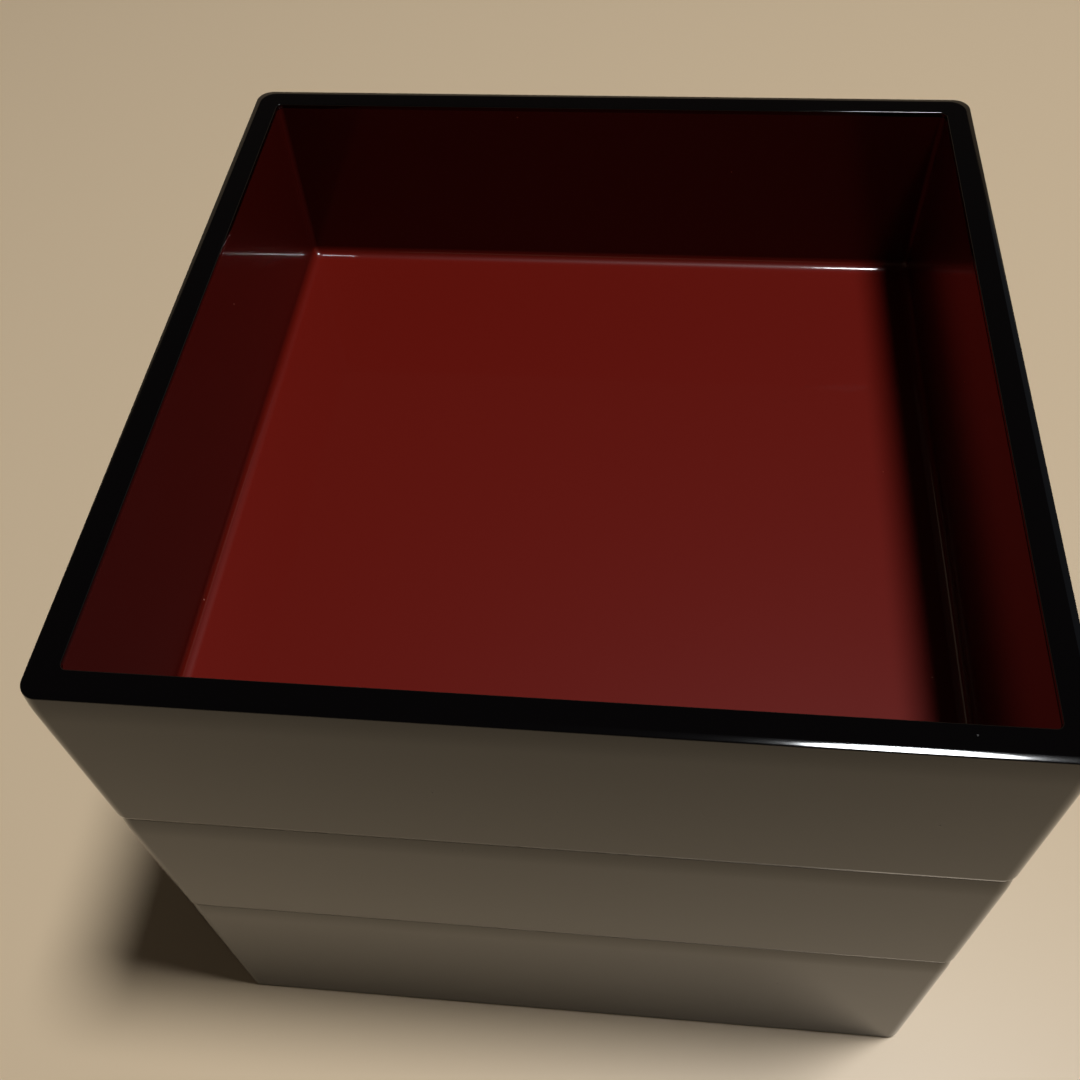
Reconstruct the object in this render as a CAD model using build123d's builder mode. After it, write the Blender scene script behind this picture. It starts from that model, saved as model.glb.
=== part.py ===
"""Square stacking lunch box of three lacquered wooden trays.

Each tray is four mitred side boards glued round a base board that sits in a
rabbet along their lower inner edges.  Feather keys lock the mitres, a cove of
filler rounds the joint between the base board and the sides, and strips under
the two upper trays drop inside the rim of the tray below.

Millimetres.  +Z is up, +X is right and -Y is the front.  The origin is the
bottom centre of the stack.
"""
import os
from dataclasses import dataclass

from build123d import *

# Overall sizes
case_width = 195.0          # along X, outside the boards
case_depth = 195.0          # along Y, outside the boards
upper_height = 54.5         # side boards of the top and middle trays
lower_height = 70.5         # side boards of the deeper bottom tray

# Side boards
wall = 6.8                  # board thickness
corner_radius = 4.0         # upright outer corners
inner_corner_radius = 2.5   # upright inner corners
rim_outer_round = 1.0
rim_inner_round = 0.8
foot_round = 1.0            # lower outer edge

# Base boards
base_thickness = 2.5
rabbet = 2.5                # how far the base board runs into the sides
foot_recess = 1.0           # the bottom tray's base board is held off the table by this much
cove_radius = 2.0           # filler between the base board and the sides

# Strips that locate one tray in the next
nest_clearance = 0.5        # each side, between a strip and the rim around it
strip_width = 6.0
strip_depth = 3.0
strip_chamfer = 0.8

# Feather keys across the mitres
key_thickness = 2.0
key_leg = 9.0               # along each outer face, from the square corner
upper_key_rows = 2
lower_key_rows = 3

# Sizes that follow
inner_width = case_width - 2 * wall
inner_depth = case_depth - 2 * wall
mitre_reach = wall + nest_clearance + strip_width + rabbet


@dataclass(frozen=True)
class Tray:
    """One tier of the stack, with the sizes that differ between tiers."""

    name: str
    base_z: float           # underside of the side boards
    height: float
    recess: float           # underside of the base board, above base_z
    key_rows: int
    nests: bool             # has locating strips underneath

    @property
    def rabbet_height(self) -> float:
        """Height of the rabbet that takes the base board."""
        return self.recess + base_thickness

    @property
    def floor_z(self) -> float:
        """Top face of the base board."""
        return self.base_z + self.rabbet_height


trays = [
    Tray("bottom", 0.0, lower_height, foot_recess, lower_key_rows, False),
    Tray("middle", lower_height, upper_height, 0.0, upper_key_rows, True),
    Tray("top", lower_height + upper_height, upper_height, 0.0, upper_key_rows, True),
]


def wall_ring(tray: Tray) -> Part:
    """All four sides in one piece, before they are parted at the mitres."""
    with BuildPart() as ring:
        with BuildSketch(Plane.XY.offset(tray.base_z)):
            RectangleRounded(case_width, case_depth, corner_radius)
            RectangleRounded(inner_width, inner_depth, inner_corner_radius, mode=Mode.SUBTRACT)
        extrude(amount=tray.height)
        rim = ring.faces().sort_by(Axis.Z)[-1]
        fillet(rim.outer_wire().edges(), rim_outer_round)
        rim = ring.faces().sort_by(Axis.Z)[-1]
        fillet(rim.inner_wires()[0].edges(), rim_inner_round)
        foot = ring.faces().sort_by(Axis.Z)[0]
        fillet(foot.outer_wire().edges(), foot_round)
        with BuildSketch(Plane.XY.offset(tray.base_z)):
            rabbet_outline()
        extrude(amount=tray.rabbet_height, mode=Mode.SUBTRACT)
    return ring.part


def rabbet_outline() -> None:
    """Outline shared by the base board and the rabbet that holds it."""
    RectangleRounded(inner_width + 2 * rabbet, inner_depth + 2 * rabbet, inner_corner_radius)


def mitre_outline(side: str) -> list[tuple[float, float]]:
    """Plan of the wedge between two mitres, for one side of the box."""
    x, y, reach = case_width / 2, case_depth / 2, mitre_reach
    return {
        "front": [(-x, -y), (x, -y), (x - reach, reach - y), (reach - x, reach - y)],
        "back": [(x, y), (-x, y), (reach - x, y - reach), (x - reach, y - reach)],
        "left": [(-x, y), (-x, -y), (reach - x, reach - y), (reach - x, y - reach)],
        "right": [(x, -y), (x, y), (x - reach, y - reach), (x - reach, reach - y)],
    }[side]


def mitred_piece(ring: Part, side: str, low: float, height: float) -> Part:
    """The stretch of a square ring that belongs to one side, cut at its two mitres."""
    with BuildPart() as piece:
        add(ring)
        with BuildSketch(Plane.XY.offset(low)):
            with BuildLine():
                Polyline(*mitre_outline(side), close=True)
            make_face()
        extrude(amount=height, mode=Mode.INTERSECT)
    return piece.part


def base_board(tray: Tray) -> Part:
    """Thin board glued up into the rabbet."""
    with BuildPart() as board:
        with BuildSketch(Plane.XY.offset(tray.base_z + tray.recess)):
            rabbet_outline()
        extrude(amount=base_thickness)
    return board.part


def cove_filler(tray: Tray) -> Part:
    """Ring of hardened filler with a hollow quarter-round face, along the foot of the sides."""
    with BuildPart() as cavity:
        with BuildSketch(Plane.XY.offset(tray.floor_z)):
            RectangleRounded(inner_width, inner_depth, inner_corner_radius)
        extrude(amount=2 * cove_radius)
        fillet(cavity.faces().sort_by(Axis.Z)[0].edges(), cove_radius)
    with BuildPart() as cove:
        with BuildSketch(Plane.XY.offset(tray.floor_z)):
            RectangleRounded(inner_width, inner_depth, inner_corner_radius)
        extrude(amount=cove_radius)
        add(cavity.part, mode=Mode.SUBTRACT)
    return cove.part


def corner_keys(tray: Tray) -> Part:
    """Thin triangular slips let in flush across every mitre, in rows up the corner."""
    with BuildPart() as keys:
        for row in range(tray.key_rows):
            middle = tray.base_z + tray.height * (row + 1) / (tray.key_rows + 1)
            with BuildSketch(Plane.XY.offset(middle - key_thickness / 2)):
                with BuildLine():
                    Polyline(*key_plan(), close=True)
                make_face()
                mirror(about=Plane.XZ)
                mirror(about=Plane.YZ)
                RectangleRounded(case_width, case_depth, corner_radius, mode=Mode.INTERSECT)
            extrude(amount=key_thickness)
    return keys.part


def key_plan() -> list[tuple[float, float]]:
    """Square-cornered plan of the key at the back right corner."""
    x, y = case_width / 2, case_depth / 2
    return [(x, y), (x - key_leg, y), (x, y - key_leg)]


def locating_ring(tray: Tray) -> Part:
    """Square ring under a tray, smaller than the rim it drops into by the nesting clearance."""
    outer_width = inner_width - 2 * nest_clearance
    outer_depth = inner_depth - 2 * nest_clearance
    with BuildPart() as ring:
        with BuildSketch(Plane.XY.offset(tray.base_z - strip_depth)):
            RectangleRounded(outer_width, outer_depth, inner_corner_radius)
            Rectangle(outer_width - 2 * strip_width, outer_depth - 2 * strip_width, mode=Mode.SUBTRACT)
        extrude(amount=strip_depth)
        chamfer(ring.faces().sort_by(Axis.Z)[0].outer_wire().edges(), strip_chamfer)
    return ring.part


def save(piece: Part, name: str) -> None:
    """Label a finished piece and write it to its own STEP file."""
    piece.label = name
    export_step(piece, f"parts/{name}.step")


def make_tray(tray: Tray) -> None:
    """Build and save every piece of one tray."""
    ring = wall_ring(tray)
    keys = corner_keys(tray)
    with BuildPart() as slotted:
        add(ring)
        add(keys, mode=Mode.SUBTRACT)
    for side in ("front", "back", "left", "right"):
        board = mitred_piece(slotted.part, side, tray.base_z, tray.height)
        save(board, f"{tray.name}_{side}_board")
        if tray.nests:
            strip = mitred_piece(locating_ring(tray), side, tray.base_z - strip_depth, strip_depth)
            save(strip, f"{tray.name}_{side}_locating_strip")
    save(base_board(tray), f"{tray.name}_base_board")
    save(cove_filler(tray), f"{tray.name}_cove_filler")
    save(keys, f"{tray.name}_corner_keys")


os.makedirs("parts", exist_ok=True)
for each_tray in trays:
    make_tray(each_tray)
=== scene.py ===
"""Three-tray lacquered lunch box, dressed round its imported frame.

Each tray is shown as it leaves the lacquerer: a case coated black, a lining coated vermilion with the base
board under it and, beneath the two upper trays, a black ring that drops into the rim of the tray below.
Lengths are in metres. Sizes given in millimetres are multiplied by MM.
"""

import logging
import math
from dataclasses import dataclass
from enum import Enum
from typing import Callable, Iterable, Optional

import bpy
from mathutils import Matrix, Vector


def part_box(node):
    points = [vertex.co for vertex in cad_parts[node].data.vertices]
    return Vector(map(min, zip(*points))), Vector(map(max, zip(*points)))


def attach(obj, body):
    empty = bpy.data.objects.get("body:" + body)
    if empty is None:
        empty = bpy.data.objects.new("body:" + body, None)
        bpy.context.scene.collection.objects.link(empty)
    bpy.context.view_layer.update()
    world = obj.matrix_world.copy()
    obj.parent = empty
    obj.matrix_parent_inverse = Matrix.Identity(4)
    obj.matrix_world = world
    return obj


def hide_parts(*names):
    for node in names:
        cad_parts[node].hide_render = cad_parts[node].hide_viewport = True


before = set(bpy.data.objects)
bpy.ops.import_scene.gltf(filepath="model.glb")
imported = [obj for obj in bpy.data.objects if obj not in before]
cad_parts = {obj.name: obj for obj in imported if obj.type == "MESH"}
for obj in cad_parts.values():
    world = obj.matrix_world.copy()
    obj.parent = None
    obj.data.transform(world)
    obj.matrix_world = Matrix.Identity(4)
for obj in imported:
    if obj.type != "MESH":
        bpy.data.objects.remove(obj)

log = logging.getLogger("lunch_box")

MM = 0.001

OUTER_CORNER = 4.0 * MM
INNER_CORNER = 1.5 * MM                 # inside the case, round the base board and round the ring
CORNER_STEPS = 10
COVE_STEPS = 10
FALL_STEPS = 5
LEAN_STEPS = 4
FOOT_STEPS = 4
BRIDGE_GAP = 4 * MM
MERGE_DISTANCE = 0.001 * MM
LEVEL_FACE = 0.5                        # a face is level when its normal's upright part is more than this
FLAT_FACE_WEIGHT = 100


class Tier(Enum):
    """The trays of the stack, by the first word of their nodes' names."""

    BOTTOM = "bottom"
    MIDDLE = "middle"
    TOP = "top"

    @property
    def body(self) -> str:
        """Name of the body that this tray's pieces ride on."""
        return f"{self.value}_tray"


class Slot(Enum):
    """Names of the record's material slots for the shown pieces, which nothing in this script uses."""

    BLACK_BOARD = "black_lacquered_board"
    BLACK_STRIP = "black_lacquered_strip"
    VERMILION_BOARD = "vermilion_lacquered_board"


SIDES = ("front", "back", "left", "right")


# Bench work shared by every piece ----------------------------------------------------------------


def to_mode(mode: str) -> None:
    """Switch the active object to OBJECT or EDIT mode, unless it is there already."""
    if bpy.context.object and bpy.context.object.mode != mode:
        bpy.ops.object.mode_set(mode=mode)


def clear_selection() -> None:
    """Leave edit mode and deselect every object."""
    to_mode("OBJECT")
    bpy.ops.object.select_all(action="DESELECT")


def pick_only(piece: bpy.types.Object) -> None:
    """Make one object the only selected one, and active.

    Args:
        piece: the object to pick.
    """
    clear_selection()
    piece.select_set(True)
    bpy.context.view_layer.objects.active = piece


def reach(point: Vector) -> float:
    """How far a point stands from the upright axis, measured square to the sides."""
    return max(abs(point.x), abs(point.y))


def select_edges(piece: bpy.types.Object, wanted: Callable[[Vector], bool]) -> None:
    """Enter edit mode with just the edges selected whose two ends are both wanted.

    Args:
        piece: the mesh object to work on.
        wanted: says of a vertex's place whether it belongs to the selection.
    """
    pick_only(piece)
    mesh = piece.data
    kept = [wanted(v.co) for v in mesh.vertices]
    for vertex, keep in zip(mesh.vertices, kept):
        vertex.select = keep
    for edge in mesh.edges:
        edge.select = kept[edge.vertices[0]] and kept[edge.vertices[1]]
    for face in mesh.polygons:
        face.select = False
    bpy.context.tool_settings.mesh_select_mode = (False, True, False)
    to_mode("EDIT")


def select_faces(piece: bpy.types.Object, wanted: Callable[[bpy.types.MeshPolygon], bool]) -> None:
    """Enter edit mode with just the wanted faces selected.

    Args:
        piece: the mesh object to work on.
        wanted: says of a face whether it belongs to the selection.
    """
    pick_only(piece)
    mesh = piece.data
    for part in (*mesh.vertices, *mesh.edges):
        part.select = False
    for face in mesh.polygons:
        face.select = wanted(face)
    bpy.context.tool_settings.mesh_select_mode = (False, False, True)
    to_mode("EDIT")


def near(value: float, target: float, slack: float = 0.02 * MM) -> bool:
    """Whether two lengths are the same to within a little slack."""
    return abs(value - target) < slack


@dataclass(frozen=True)
class Outline:
    """A square with rounded corners, centred on the upright axis."""

    half_x: float
    half_y: float
    radius: float

    def grown(self, by: float) -> "Outline":
        """The outline moved outwards by a distance, or inwards where that is negative."""
        return Outline(self.half_x + by, self.half_y + by, self.radius)


def open_sleeve(name: str, outline: Outline, low: float, high: float) -> bpy.types.Object:
    """Upright sleeve with rounded corners and no top or bottom.

    Args:
        name: name for the new object.
        outline: plan of the sleeve.
        low: height of its lower edge.
        high: height of its upper edge.

    Returns:
        The new mesh object, in object mode.
    """
    clear_selection()
    bpy.ops.mesh.primitive_cube_add(size=1, location=(0, 0, (low + high) / 2))
    sleeve = bpy.context.object
    sleeve.name = name
    bpy.ops.transform.resize(value=(2 * outline.half_x, 2 * outline.half_y, high - low))
    bpy.ops.object.transform_apply(location=True, rotation=True, scale=True)
    select_faces(sleeve, lambda face: abs(face.normal.z) > LEVEL_FACE)
    bpy.ops.mesh.delete(type="ONLY_FACE")
    to_mode("OBJECT")
    pick_only(sleeve)
    mesh = sleeve.data
    for vertex in mesh.vertices:
        vertex.select = False
    for edge in mesh.edges:
        ends = [mesh.vertices[i].co for i in edge.vertices]
        edge.select = not near(ends[0].z, ends[1].z)
    bpy.context.tool_settings.mesh_select_mode = (False, True, False)
    to_mode("EDIT")
    bpy.ops.mesh.bevel(offset=outline.radius, segments=CORNER_STEPS, affect="EDGES")
    to_mode("OBJECT")
    return sleeve


def carry_edge(start: Outline, end: Outline, rise: float) -> None:
    """Extrude the selected loop of edges to a new height and a new outline.

    Args:
        start: plan of the loop that is selected.
        end: plan of the loop it becomes.
        rise: how far it moves up.
    """
    bpy.ops.mesh.extrude_region_move(TRANSFORM_OT_translate={"value": (0, 0, rise)})
    ratio = (end.half_x / start.half_x, end.half_y / start.half_y, 1)
    bpy.ops.transform.resize(value=ratio, center_override=(0, 0, 0))


def follow_arc(
    start: Outline, radius: float, tilts: Iterable[float], rising: bool, inwards: bool
) -> Outline:
    """Extrude the selected loop along an arc, one step for each tilt.

    Args:
        start: plan of the selected loop.
        radius: radius of the arc.
        tilts: angles from upright, in radians, the first being where the loop stands now.
        rising: whether the loop moves up rather than down.
        inwards: whether it moves towards the axis rather than away from it.

    Returns:
        The plan of the last loop.
    """
    angles = list(tilts)
    for before, after in zip(angles, angles[1:]):
        climb = radius * abs(math.sin(after) - math.sin(before))
        drift = radius * abs(math.cos(after) - math.cos(before))
        end = start.grown(-drift if inwards else drift)
        carry_edge(start, end, climb if rising else -climb)
        start = end
    return start


def spread(first: float, last: float, steps: int) -> list[float]:
    """Angles in radians from one to another in equal steps, given in degrees."""
    return [math.radians(first + (last - first) * i / steps) for i in range(steps + 1)]


def loop_at(height: float, inside: float = 0.0, outside: float = math.inf) -> Callable[[Vector], bool]:
    """Test for vertices at one height whose reach lies between two values."""
    return lambda point: near(point.z, height) and inside < reach(point) < outside


def soften(piece: bpy.types.Object, wanted: Callable[[Vector], bool], width: float, steps: int) -> None:
    """Round one loop of edges.

    Args:
        piece: the mesh object.
        wanted: picks the loop's vertices.
        width: distance from the old edge to where the rounding starts.
        steps: faces across the rounding.
    """
    select_edges(piece, wanted)
    bpy.ops.mesh.bevel(offset=width, segments=steps, profile=0.5, affect="EDGES", clamp_overlap=False)
    to_mode("OBJECT")


def joined(first: bpy.types.Object, second: bpy.types.Object) -> bpy.types.Object:
    """Join a second mesh into the first.

    Args:
        first: the object that stays.
        second: the object whose mesh is taken in.

    Returns:
        The first object.
    """
    pick_only(first)
    second.select_set(True)
    bpy.ops.object.join()
    return first


def bridge(piece: bpy.types.Object, height: float, apart: float) -> None:
    """Close the gap between a loop of open edges and one that stands apart from it, then level the two.

    Two loops at one height can be bridged crosswise, so the second is made too high or too low.

    Args:
        piece: the mesh object.
        height: height of the first loop, and of both at the end.
        apart: how much higher the second loop stands before it is levelled.
    """
    select_edges(piece, lambda point: near(point.z, height) or near(point.z, height + apart))
    bpy.ops.mesh.bridge_edge_loops()
    to_mode("OBJECT")
    select_edges(piece, lambda point: near(point.z, height + apart))
    bpy.ops.transform.translate(value=(0, 0, -apart))
    bpy.ops.mesh.select_all(action="SELECT")
    bpy.ops.mesh.normals_make_consistent(inside=False)
    to_mode("OBJECT")


def close_up(piece: bpy.types.Object) -> None:
    """Merge doubles, turn the faces outwards and shade the mesh smooth with flat faces kept flat.

    Args:
        piece: the finished mesh object.
    """
    pick_only(piece)
    to_mode("EDIT")
    bpy.ops.mesh.select_all(action="SELECT")
    bpy.ops.mesh.remove_doubles(threshold=MERGE_DISTANCE)
    bpy.ops.mesh.normals_make_consistent(inside=False)
    to_mode("OBJECT")
    bpy.ops.object.shade_smooth()
    flats = piece.modifiers.new("flats", "WEIGHTED_NORMAL")
    flats.mode = "FACE_AREA"
    flats.weight = FLAT_FACE_WEIGHT
    flats.keep_sharp = False
    bpy.ops.object.modifier_apply(modifier=flats.name)


# Finishes ----------------------------------------------------------------------------------------


def linear(hex_colour: str) -> tuple[float, float, float, float]:
    """Turn an sRGB hex value such as "#8a1c12" into linear red, green, blue and alpha."""
    parts = [int(hex_colour[i:i + 2], 16) / 255 for i in (1, 3, 5)]
    return (*[p / 12.92 if p <= 0.04045 else ((p + 0.055) / 1.055) ** 2.4 for p in parts], 1.0)


def add_node(
    tree: bpy.types.NodeTree,
    kind: str,
    settings: Optional[dict] = None,
    links: Optional[dict] = None,
) -> bpy.types.Node:
    """Add a node with its settings and incoming links.

    Args:
        tree: node tree to add to.
        kind: Blender's type name of the node.
        settings: property names, or input names or indexes, and their values.
        links: input names or indexes, and the output sockets that feed them.

    Returns:
        The new node.
    """
    node = tree.nodes.new(kind)
    for key, value in (settings or {}).items():
        if isinstance(key, str) and hasattr(node, key):
            setattr(node, key, value)
        else:
            node.inputs[key].default_value = value
    for key, socket in (links or {}).items():
        tree.links.new(socket, node.inputs[key])
    return node


def blank_material(name: str) -> tuple[bpy.types.Material, bpy.types.NodeTree, bpy.types.Node]:
    """New material with an empty tree but for its Principled shader and output.

    Args:
        name: name of the material.

    Returns:
        The material, its node tree and the Principled shader.
    """
    material = bpy.data.materials.new(name)
    material.use_nodes = True
    tree = material.node_tree
    tree.nodes.clear()
    shader = add_node(tree, "ShaderNodeBsdfPrincipled")
    add_node(tree, "ShaderNodeOutputMaterial", links={"Surface": shader.outputs["BSDF"]})
    return material, tree, shader


@dataclass(frozen=True)
class Lacquer:
    """Urushi-type lacquer brushed on in thin coats, rubbed flat and polished.

    It reads as a deep even colour under a mirror that is very slightly blurred and just short of flat: long
    gentle swells from rubbing down by hand, a fine skin texture and a few specks of dust. Under the skin a
    pigmented lacquer is a little milky, so a lamp leaves a wide faint haze round its mirror image.
    """

    name: str
    colour: str
    wall_painted_shade: str                    # of upright faces: painted shade, darker than the level ones
    speck_colour: str
    roughness: float = 0.06
    roughness_spread: float = 0.03
    haze_roughness: float = 0.40
    haze_level: float = 0.16            # specular level of the milky layer, where 0.5 is the full share
    skin_weight: float = 0.0            # 0: one clear black body; above 0: a clear skin over a milky layer
    swell_length: float = 26 * MM
    swell_height: float = 0.010 * MM
    skin_length: float = 2.4 * MM
    skin_height: float = 0.0009 * MM
    speck_spacing: float = 13 * MM
    speck_size: float = 0.22 * MM
    speck_dulling: float = 0.25         # how much rougher the surface is at a speck
    cloud_length: float = 55 * MM       # the polish varies over about this length
    cloud_range: tuple[float, float] = (0.3, 0.7)
    ior: float = 1.47

    def material(self) -> bpy.types.Material:
        """Build the node material.

        Returns:
            The material.
        """
        material, tree, shader = blank_material(self.name)
        place = add_node(tree, "ShaderNodeTexCoord").outputs["Object"]
        specks = self._specks(tree, place)
        relief = self._relief(tree, place)
        shader.inputs["IOR"].default_value = self.ior
        body = self._body_colour(tree)
        colour = add_node(
            tree, "ShaderNodeMix",
            {"data_type": "RGBA", 7: linear(self.speck_colour)},
            {0: specks, 6: body},
        )
        tree.links.new(colour.outputs[2], shader.inputs["Base Color"])
        tree.links.new(relief, shader.inputs["Normal"])
        if self.skin_weight:
            shader.inputs["Specular IOR Level"].default_value = self.haze_level
            shader.inputs["Roughness"].default_value = self.haze_roughness
            shader.inputs["Coat Weight"].default_value = self.skin_weight
            shader.inputs["Coat Roughness"].default_value = self.roughness
            shader.inputs["Coat IOR"].default_value = self.ior
            tree.links.new(relief, shader.inputs["Coat Normal"])
        else:
            tree.links.new(self._roughness(tree, place, specks), shader.inputs["Roughness"])
        return material

    def _body_colour(self, tree: bpy.types.NodeTree) -> bpy.types.NodeSocket:
        """Colour under the skin: full on level faces, passing to a darker painted shade on the upright faces
        round the coves.

        Args:
            tree: the material's node tree.

        Returns:
            The colour's socket.
        """
        facing = add_node(
            tree, "ShaderNodeSeparateXYZ",
            links={0: add_node(tree, "ShaderNodeNewGeometry").outputs["Normal"]},
        )
        level = add_node(tree, "ShaderNodeMath", {"operation": "ABSOLUTE"}, {0: facing.outputs["Z"]})
        # painted shade: upright faces get the darker second colour, level faces the full colour
        colour = add_node(
            tree, "ShaderNodeMix",
            {"data_type": "RGBA", 6: linear(self.wall_painted_shade), 7: linear(self.colour)},
            {0: level.outputs[0]},
        )
        return colour.outputs[2]

    def _specks(self, tree: bpy.types.NodeTree, place: bpy.types.NodeSocket) -> bpy.types.NodeSocket:
        """Mask of the few dust specks that settled on the surface.

        Args:
            tree: the material's node tree.
            place: coordinates on the piece.

        Returns:
            The mask's socket, 1 on a speck and 0 elsewhere.
        """
        cells = add_node(
            tree, "ShaderNodeTexVoronoi",
            {"Scale": 1 / self.speck_spacing, "Randomness": 1.0},
            {"Vector": place},
        )
        dot = add_node(
            tree, "ShaderNodeMath",
            {"operation": "LESS_THAN", 1: self.speck_size / self.speck_spacing},
            {0: cells.outputs["Distance"]},
        )
        return dot.outputs[0]

    def _roughness(
        self, tree: bpy.types.NodeTree, place: bpy.types.NodeSocket, specks: bpy.types.NodeSocket
    ) -> bpy.types.NodeSocket:
        """Polish that varies a little over the surface, broken by the specks.

        Args:
            tree: the material's node tree.
            place: coordinates on the piece.
            specks: mask of the specks.

        Returns:
            The roughness socket.
        """
        clouds = add_node(
            tree, "ShaderNodeTexNoise", {"Scale": 1 / self.cloud_length, "Detail": 3.0}, {"Vector": place}
        )
        low, high = self.cloud_range
        polish = add_node(
            tree, "ShaderNodeMapRange",
            {1: low, 2: high, 3: self.roughness, 4: self.roughness + self.roughness_spread},
            {0: clouds.outputs[0]},
        )
        dusty = add_node(
            tree, "ShaderNodeMath",
            {"operation": "MULTIPLY_ADD", 1: self.speck_dulling},
            {0: specks, 2: polish.outputs[0]},
        )
        return dusty.outputs[0]

    def _relief(self, tree: bpy.types.NodeTree, place: bpy.types.NodeSocket) -> bpy.types.NodeSocket:
        """Swells from rubbing down, with the brushed skin on top.

        Args:
            tree: the material's node tree.
            place: coordinates on the piece.

        Returns:
            The socket of the bumped normal.
        """
        swell = add_node(
            tree, "ShaderNodeTexNoise", {"Scale": 1 / self.swell_length, "Detail": 1.0}, {"Vector": place}
        )
        skin = add_node(
            tree, "ShaderNodeTexNoise", {"Scale": 1 / self.skin_length, "Detail": 2.0}, {"Vector": place}
        )
        wide = add_node(
            tree, "ShaderNodeBump", {"Strength": 1.0, "Distance": self.swell_height},
            {"Height": swell.outputs[0]},
        )
        fine = add_node(
            tree, "ShaderNodeBump", {"Strength": 1.0, "Distance": self.skin_height},
            {"Height": skin.outputs[0], "Normal": wide.outputs[0]},
        )
        return fine.outputs[0]


# The black's index of refraction is chosen and lies below real lacquer's of about 1.5.
BLACK = Lacquer("polished_black_lacquer", "#040304", "#040304", "#292725", ior=1.44)
# the vermilion's second colour is painted shade, darker, for its upright faces
VERMILION = Lacquer("polished_vermilion_lacquer", "#661108", "#430904", "#9a5a4c", skin_weight=0.62)


# The trays ---------------------------------------------------------------------------------------


@dataclass(frozen=True)
class TrayPlan:
    """Sizes of one tray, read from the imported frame."""

    tier: Tier
    outer: Outline
    inner: Outline
    board: Outline
    ring: Optional[Outline]
    ring_width: float
    base_z: float
    rim_z: float
    board_z: float
    floor_z: float
    ring_z: float

    @classmethod
    def read(cls, tier: Tier) -> "TrayPlan":
        """Work out one tray's sizes from the boxes of its nodes.

        Corner radii can't be read from boxes, so they are the module's constants.

        Args:
            tier: the tray to read.

        Returns:
            The tray's sizes.
        """
        word = tier.value
        front_low, front_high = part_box(f"{word}_front_board")
        left_low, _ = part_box(f"{word}_left_board")
        _, cove_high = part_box(f"{word}_cove_filler")
        board_low, board_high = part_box(f"{word}_base_board")
        strips = tier is not Tier.BOTTOM
        strip_low, strip_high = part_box(f"{word}_front_locating_strip") if strips else (front_low, front_low)
        side_low, side_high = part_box(f"{word}_left_locating_strip") if strips else (front_low, front_low)
        return cls(
            tier=tier,
            outer=Outline(-left_low.x, -front_low.y, OUTER_CORNER),
            inner=Outline(cove_high.x, cove_high.y, INNER_CORNER),
            board=Outline(board_high.x, board_high.y, INNER_CORNER),
            ring=Outline(-side_low.x, -strip_low.y, INNER_CORNER) if strips else None,
            ring_width=strip_high.y - strip_low.y,
            base_z=front_low.z,
            rim_z=front_high.z,
            board_z=board_low.z,
            floor_z=board_high.z,
            ring_z=strip_low.z,
        )


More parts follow.
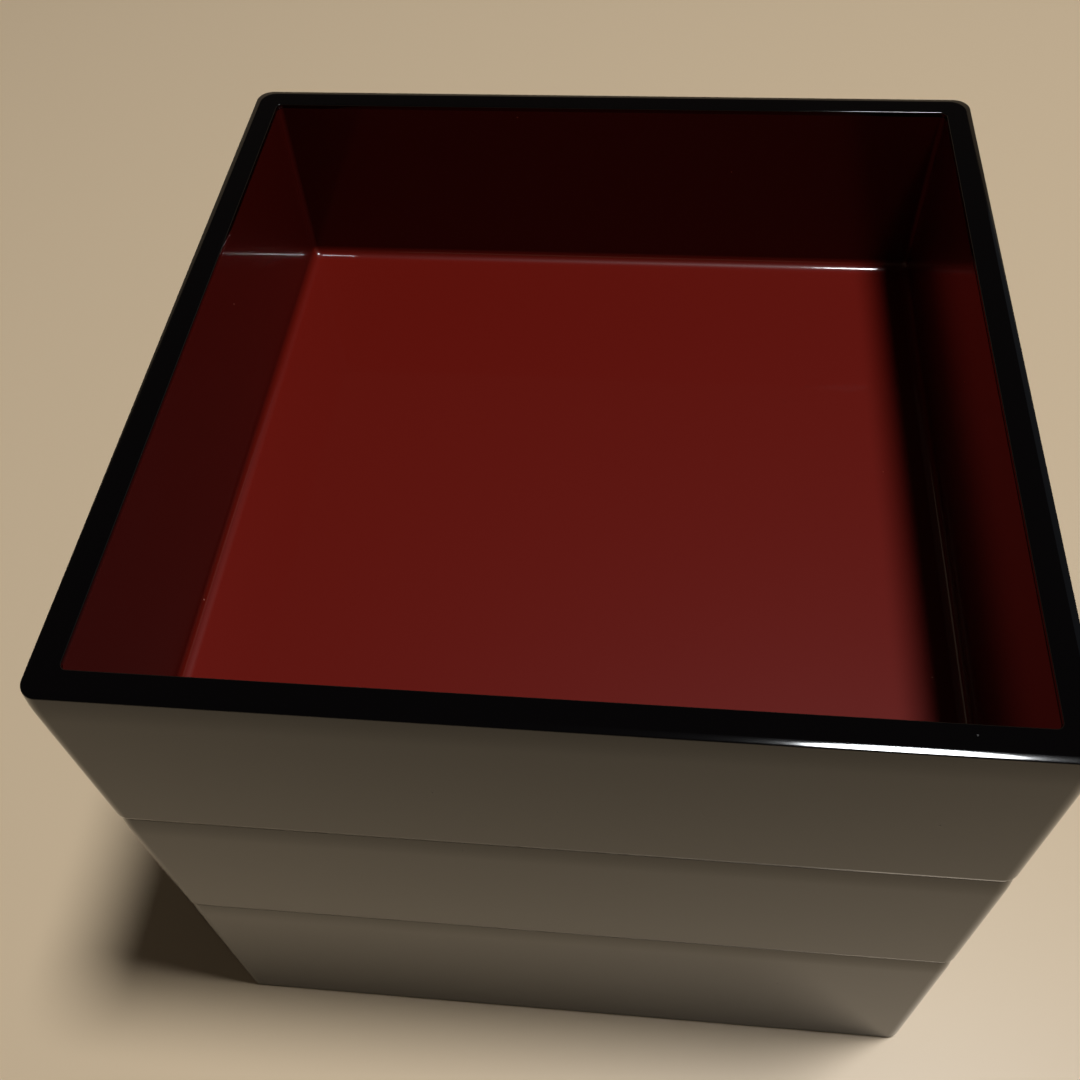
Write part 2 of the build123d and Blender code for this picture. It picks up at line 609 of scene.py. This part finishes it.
@dataclass
class Tray:
    """One tray: black case, vermilion lining and, if it nests, the ring under it."""

    plan: TrayPlan
    black: bpy.types.Material
    vermilion: bpy.types.Material
    coat: float = 0.25 * MM             # lining let into the case by this much
    coat_gap: float = 0.01 * MM         # between the lining's back and the case
    black_lap: float = 1.3 * MM         # black runs this far down inside the rim
    rim_fall_width: float = 1.5 * MM    # the rim falls away gently over this width, to the outside
    rim_fall_tilts: tuple[float, float] = (7.5, 15.0)
    lean_height: float = 8.0 * MM       # the face leans in under the rim over this height
    lean_tilt: float = 4.5
    foot_height: float = 1.4 * MM       # and draws in towards its foot over this height
    foot_turn: float = 0.4 * MM         # of which this much is the turn, the rest a straight facet
    foot_tilt: float = 10.0
    rim_edge: float = 0.18 * MM         # roundings of the two outer edges and the inner one
    foot_edge: float = 0.07 * MM
    rim_inner: float = 0.3 * MM
    rim_edge_steps: int = 4
    foot_edge_steps: int = 3
    rim_inner_steps: int = 6
    cove: float = 2.8 * MM              # hollow round the floor, larger than the filler under it
    ring_hole_corner: float = 0.7 * MM
    ring_lead: float = 0.8 * MM         # rounding that guides the ring into the rim below
    ring_lead_steps: int = 4
    ring_inner_edge: float = 0.4 * MM
    ring_inner_steps: int = 3

    def case(self) -> bpy.types.Object:
        """Black-coated walls and rim, standing for the four boards and the keys.

        Returns:
            The case.
        """
        plan = self.plan
        fall = spread(90 - self.rim_fall_tilts[1], 90 - self.rim_fall_tilts[0], FALL_STEPS)
        fall_radius = self.rim_fall_width / abs(math.cos(fall[0]) - math.cos(fall[-1]))
        brow = plan.rim_z - fall_radius * (math.sin(fall[-1]) - math.sin(fall[0]))
        lean = spread(0, self.lean_tilt, LEAN_STEPS)
        foot = spread(0, self.foot_tilt, FOOT_STEPS)
        high = brow - self.lean_height
        low = plan.base_z + self.foot_height
        case = open_sleeve(f"{plan.tier.value}_black_case", plan.outer, low, high)
        select_edges(case, loop_at(high))
        neck = follow_arc(plan.outer, self.lean_height / math.sin(lean[-1]), lean, True, True)
        follow_arc(neck, fall_radius, fall, True, True)
        select_edges(case, loop_at(low))
        ankle = follow_arc(plan.outer, self.foot_turn / math.sin(foot[-1]), foot, False, True)
        facet = self.foot_height - self.foot_turn
        carry_edge(ankle, ankle.grown(-facet * math.tan(foot[-1])), -facet)
        joined(case, self._well())
        bridge(case, plan.rim_z, BRIDGE_GAP)
        bridge(case, plan.base_z, -BRIDGE_GAP)
        past_wall = (plan.outer.half_x + plan.inner.half_x) / 2
        soften(case, loop_at(brow, inside=past_wall), self.rim_edge, self.rim_edge_steps)
        soften(case, loop_at(plan.base_z, inside=past_wall), self.foot_edge, self.foot_edge_steps)
        soften(case, loop_at(plan.rim_z, outside=past_wall), self.rim_inner, self.rim_inner_steps)
        close_up(case)
        case.data.materials.append(self.black)
        return case

    def _well(self) -> bpy.types.Object:
        """Inside of the case: black lap, step for the lining and rabbet for the base board.

        Returns:
            The open sheet that is joined into the case.
        """
        plan = self.plan
        seat = plan.inner.grown(self.coat)
        well = open_sleeve("well", plan.inner, plan.rim_z - self.black_lap, plan.rim_z + BRIDGE_GAP)
        select_edges(well, loop_at(plan.rim_z - self.black_lap))
        carry_edge(plan.inner, seat, 0)
        carry_edge(seat, seat, plan.floor_z - plan.rim_z + self.black_lap)
        carry_edge(seat, plan.board, 0)
        carry_edge(plan.board, plan.board, plan.base_z - plan.floor_z - BRIDGE_GAP)
        to_mode("OBJECT")
        return well

    def lining(self) -> bpy.types.Object:
        """Vermilion walls, cove and floor over the base board, whose underside is black.

        Returns:
            The lining.
        """
        plan = self.plan
        top = plan.rim_z - self.black_lap - self.coat_gap
        back = plan.inner.grown(self.coat - self.coat_gap)
        edge = plan.board.grown(-self.coat_gap)
        cove_top = plan.floor_z + self.cove
        lining = open_sleeve(f"{plan.tier.value}_vermilion_lining", plan.inner, cove_top, top)
        select_edges(lining, loop_at(cove_top))
        follow_arc(plan.inner, self.cove, spread(0, 90, COVE_STEPS), False, True)
        bpy.ops.mesh.edge_face_add()
        to_mode("OBJECT")
        select_edges(lining, loop_at(top))
        carry_edge(plan.inner, back, 0)
        carry_edge(back, back, plan.floor_z - self.coat_gap - top)
        carry_edge(back, edge, 0)
        carry_edge(edge, edge, plan.board_z - plan.floor_z + self.coat_gap)
        bpy.ops.mesh.edge_face_add()
        to_mode("OBJECT")
        close_up(lining)
        lining.data.materials.append(self.vermilion)
        lining.data.materials.append(self.black)
        for face in lining.data.polygons:
            if face.normal.z < -LEVEL_FACE:
                face.material_index = 1
        return lining

    def nesting_ring(self) -> bpy.types.Object:
        """Black ring that locates the tray in the rim below, standing for its four strips.

        Returns:
            The ring.
        """
        plan = self.plan
        hole = plan.ring.grown(-plan.ring_width)
        bore = Outline(hole.half_x, hole.half_y, self.ring_hole_corner)
        ring = open_sleeve(f"{plan.tier.value}_nesting_ring", plan.ring, plan.ring_z, plan.base_z)
        inside = open_sleeve("inside", bore, plan.ring_z - BRIDGE_GAP, plan.base_z + BRIDGE_GAP)
        joined(ring, inside)
        bridge(ring, plan.ring_z, -BRIDGE_GAP)
        bridge(ring, plan.base_z, BRIDGE_GAP)
        middle = (plan.ring.half_x + hole.half_x) / 2
        soften(ring, loop_at(plan.ring_z, inside=middle), self.ring_lead, self.ring_lead_steps)
        soften(ring, loop_at(plan.ring_z, outside=middle), self.ring_inner_edge, self.ring_inner_steps)
        close_up(ring)
        ring.data.materials.append(self.black)
        return ring

    def model(self) -> list[bpy.types.Object]:
        """Model the case, the lining and, where the tray nests, the ring.

        Returns:
            The pieces, in that order.
        """
        pieces = [self.case(), self.lining()]
        if self.plan.ring:
            pieces.append(self.nesting_ring())
        return pieces

    def copied_from(self, twin: "Tray", pieces: list[bpy.types.Object]) -> list[bpy.types.Object]:
        """Copy the pieces of a tray of the same sizes to this tray's height.

        Args:
            twin: the tray that was modelled.
            pieces: its case, lining and ring.

        Returns:
            The copies, each with a mesh of its own.
        """
        copies = []
        for piece in pieces:
            pick_only(piece)
            bpy.ops.object.duplicate()
            copy = bpy.context.object
            copy.name = piece.name.replace(twin.plan.tier.value, self.plan.tier.value)
            to_mode("EDIT")
            bpy.ops.mesh.select_all(action="SELECT")
            bpy.ops.transform.translate(value=(0, 0, self.plan.base_z - twin.plan.base_z))
            to_mode("OBJECT")
            copies.append(copy)
        return copies

    def enter(self, pieces: list[bpy.types.Object]) -> None:
        """Hide the frame's parts that the pieces stand for, and put each piece on the body it rides on.

        Args:
            pieces: the case, the lining and, where the tray nests, the ring.
        """
        word = self.plan.tier.value
        case, lining, *rings = pieces
        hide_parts(*[f"{word}_{side}_board" for side in SIDES], f"{word}_corner_keys")
        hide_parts(f"{word}_base_board", f"{word}_cove_filler")
        for ring in rings:
            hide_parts(*[f"{word}_{side}_locating_strip" for side in SIDES])
        for piece in pieces:
            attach(piece, self.plan.tier.body)
            log.info("%s: %d faces", piece.name, len(piece.data.polygons))


# Studio ------------------------------------------------------------------------------------------


@dataclass(frozen=True)
class Studio:
    """Plain pale floor that curves up far away, one lamp overhead and a cool card to the right."""

    floor_colour: str = "#dfc6a4"
    floor_roughness: float = 0.42
    floor_sides: int = 96
    bend_steps: int = 12
    floor_radius: float = 3.0
    floor_height: float = 1.62
    floor_bend: float = 1.04            # how far from the corner the floor starts to curve up
    lamp_direction: tuple[float, float, float] = (0.227, 0.004, 0.97)
    lamp_distance: float = 2.3
    lamp_width: float = 0.39
    lamp_power: float = 40.0
    lamp_colour: tuple[float, float, float] = (0.94, 0.97, 1.0)
    card_direction: tuple[float, float, float] = (0.62, 0.50, 0.60)
    card_distance: float = 2.2
    card_width: float = 1.4
    card_power: float = 0.5
    card_colour: tuple[float, float, float] = (0.72, 0.86, 1.0)
    air: tuple[float, float, float] = (0.027, 0.023, 0.018)
    glow: float = 0.22                  # light given off by the floor's upright part
    ground_glow: float = 0.012          # and by its level part
    glow_height: float = 0.6

    def floor(self) -> bpy.types.Object:
        """Round floor with a rim that curves up, so that level views see no edge.

        Returns:
            The floor.
        """
        clear_selection()
        bpy.ops.mesh.primitive_circle_add(
            vertices=self.floor_sides, radius=self.floor_radius, fill_type="NOTHING"
        )
        floor = bpy.context.object
        floor.name = "studio_floor"
        select_edges(floor, lambda point: True)
        bpy.ops.mesh.extrude_region_move(TRANSFORM_OT_translate={"value": (0, 0, self.floor_height)})
        to_mode("OBJECT")
        select_edges(floor, loop_at(0.0))
        bpy.ops.mesh.edge_face_add()
        to_mode("OBJECT")
        soften(floor, loop_at(0.0), self.floor_bend, self.bend_steps)
        pick_only(floor)
        bpy.ops.object.shade_smooth()
        material, tree, shader = blank_material("plain_pale_floor")
        shader.inputs["Base Color"].default_value = linear(self.floor_colour)
        shader.inputs["Roughness"].default_value = self.floor_roughness
        shader.inputs["Emission Color"].default_value = linear(self.floor_colour)
        height = add_node(
            tree, "ShaderNodeSeparateXYZ", links={0: add_node(tree, "ShaderNodeTexCoord").outputs["Object"]}
        )
        glow = add_node(
            tree, "ShaderNodeMapRange",
            {2: self.glow_height, 3: self.ground_glow, 4: self.glow},
            {0: height.outputs["Z"]},
        )
        tree.links.new(glow.outputs[0], shader.inputs["Emission Strength"])
        floor.data.materials.append(material)
        floor.visible_diffuse = False
        return floor

    def _area(
        self, name: str, direction: tuple[float, float, float], distance: float, width: float, power: float,
        colour: tuple[float, float, float],
    ) -> bpy.types.Object:
        """Add an area light that faces the box from one direction.

        Args:
            name: name of the light.
            direction: from the box towards the light.
            distance: how far off it hangs.
            width: its diameter.
            power: its power in watts.
            colour: its linear colour.

        Returns:
            The light.
        """
        data = bpy.data.lights.new(name, "AREA")
        data.shape = "DISK"
        data.size = width
        data.energy = power
        data.color = colour
        light = bpy.data.objects.new(name, data)
        bpy.context.scene.collection.objects.link(light)
        towards = Vector(direction).normalized()
        light.location = towards * distance
        light.rotation_mode = "QUATERNION"
        light.rotation_quaternion = towards.to_track_quat("Z", "Y")
        return light

    def light_up(self) -> None:
        """Hang the lamp, stand the card and fill the air with a little grey light."""
        self._area(
            "lamp", self.lamp_direction, self.lamp_distance,
            self.lamp_width, self.lamp_power, self.lamp_colour,
        )
        self._area(
            "card", self.card_direction, self.card_distance,
            self.card_width, self.card_power, self.card_colour,
        )
        world = bpy.data.worlds.new("air")
        world.use_nodes = True
        world.node_tree.nodes["Background"].inputs["Color"].default_value = (*self.air, 1.0)
        bpy.context.scene.world = world
        bpy.context.scene.view_settings.view_transform = "Standard"


@dataclass(frozen=True)
class Viewpoint:
    """Hand-held camera, looking steeply down into the top tray and tilted a little."""

    azimuth: float = 8.86
    elevation: float = 53.25
    roll: float = -4.41
    place: tuple[float, float, float] = (17.7 * MM, -192.1 * MM, 364.5 * MM)
    lens: float = 38.97
    sensor: float = 36.0
    nearest: float = 10 * MM

    def camera(self) -> bpy.types.Object:
        """Make the camera and hand it to the scene.

        Returns:
            The camera.
        """
        data = bpy.data.cameras.new("viewpoint")
        data.lens = self.lens
        data.sensor_width = self.sensor
        data.clip_start = self.nearest
        camera = bpy.data.objects.new("viewpoint", data)
        bpy.context.scene.collection.objects.link(camera)
        a, e, r = (math.radians(v) for v in (self.azimuth, self.elevation, self.roll))
        back = Vector((math.sin(a) * math.cos(e), -math.cos(a) * math.cos(e), math.sin(e)))
        right = Vector((0, 0, 1)).cross(back).normalized()
        up = back.cross(right)
        right, up = right * math.cos(r) + up * math.sin(r), up * math.cos(r) - right * math.sin(r)
        turn = Matrix((right, up, back)).transposed()
        camera.matrix_world = Matrix.Translation(self.place) @ turn.to_4x4()
        bpy.context.scene.camera = camera
        return camera


def main() -> None:
    """Build the camera, the studio and every tray, and report each piece."""
    logging.basicConfig(level=logging.INFO, format="%(name)s %(message)s")
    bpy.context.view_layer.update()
    Viewpoint().camera()
    studio = Studio()
    studio.floor()
    studio.light_up()
    black, vermilion = BLACK.material(), VERMILION.material()
    bottom, middle, top = (Tray(TrayPlan.read(tier), black, vermilion) for tier in Tier)
    bottom.enter(bottom.model())
    top_pieces = top.model()
    middle.enter(middle.copied_from(top, top_pieces))
    top.enter(top_pieces)


if __name__ == "__main__":
    main()
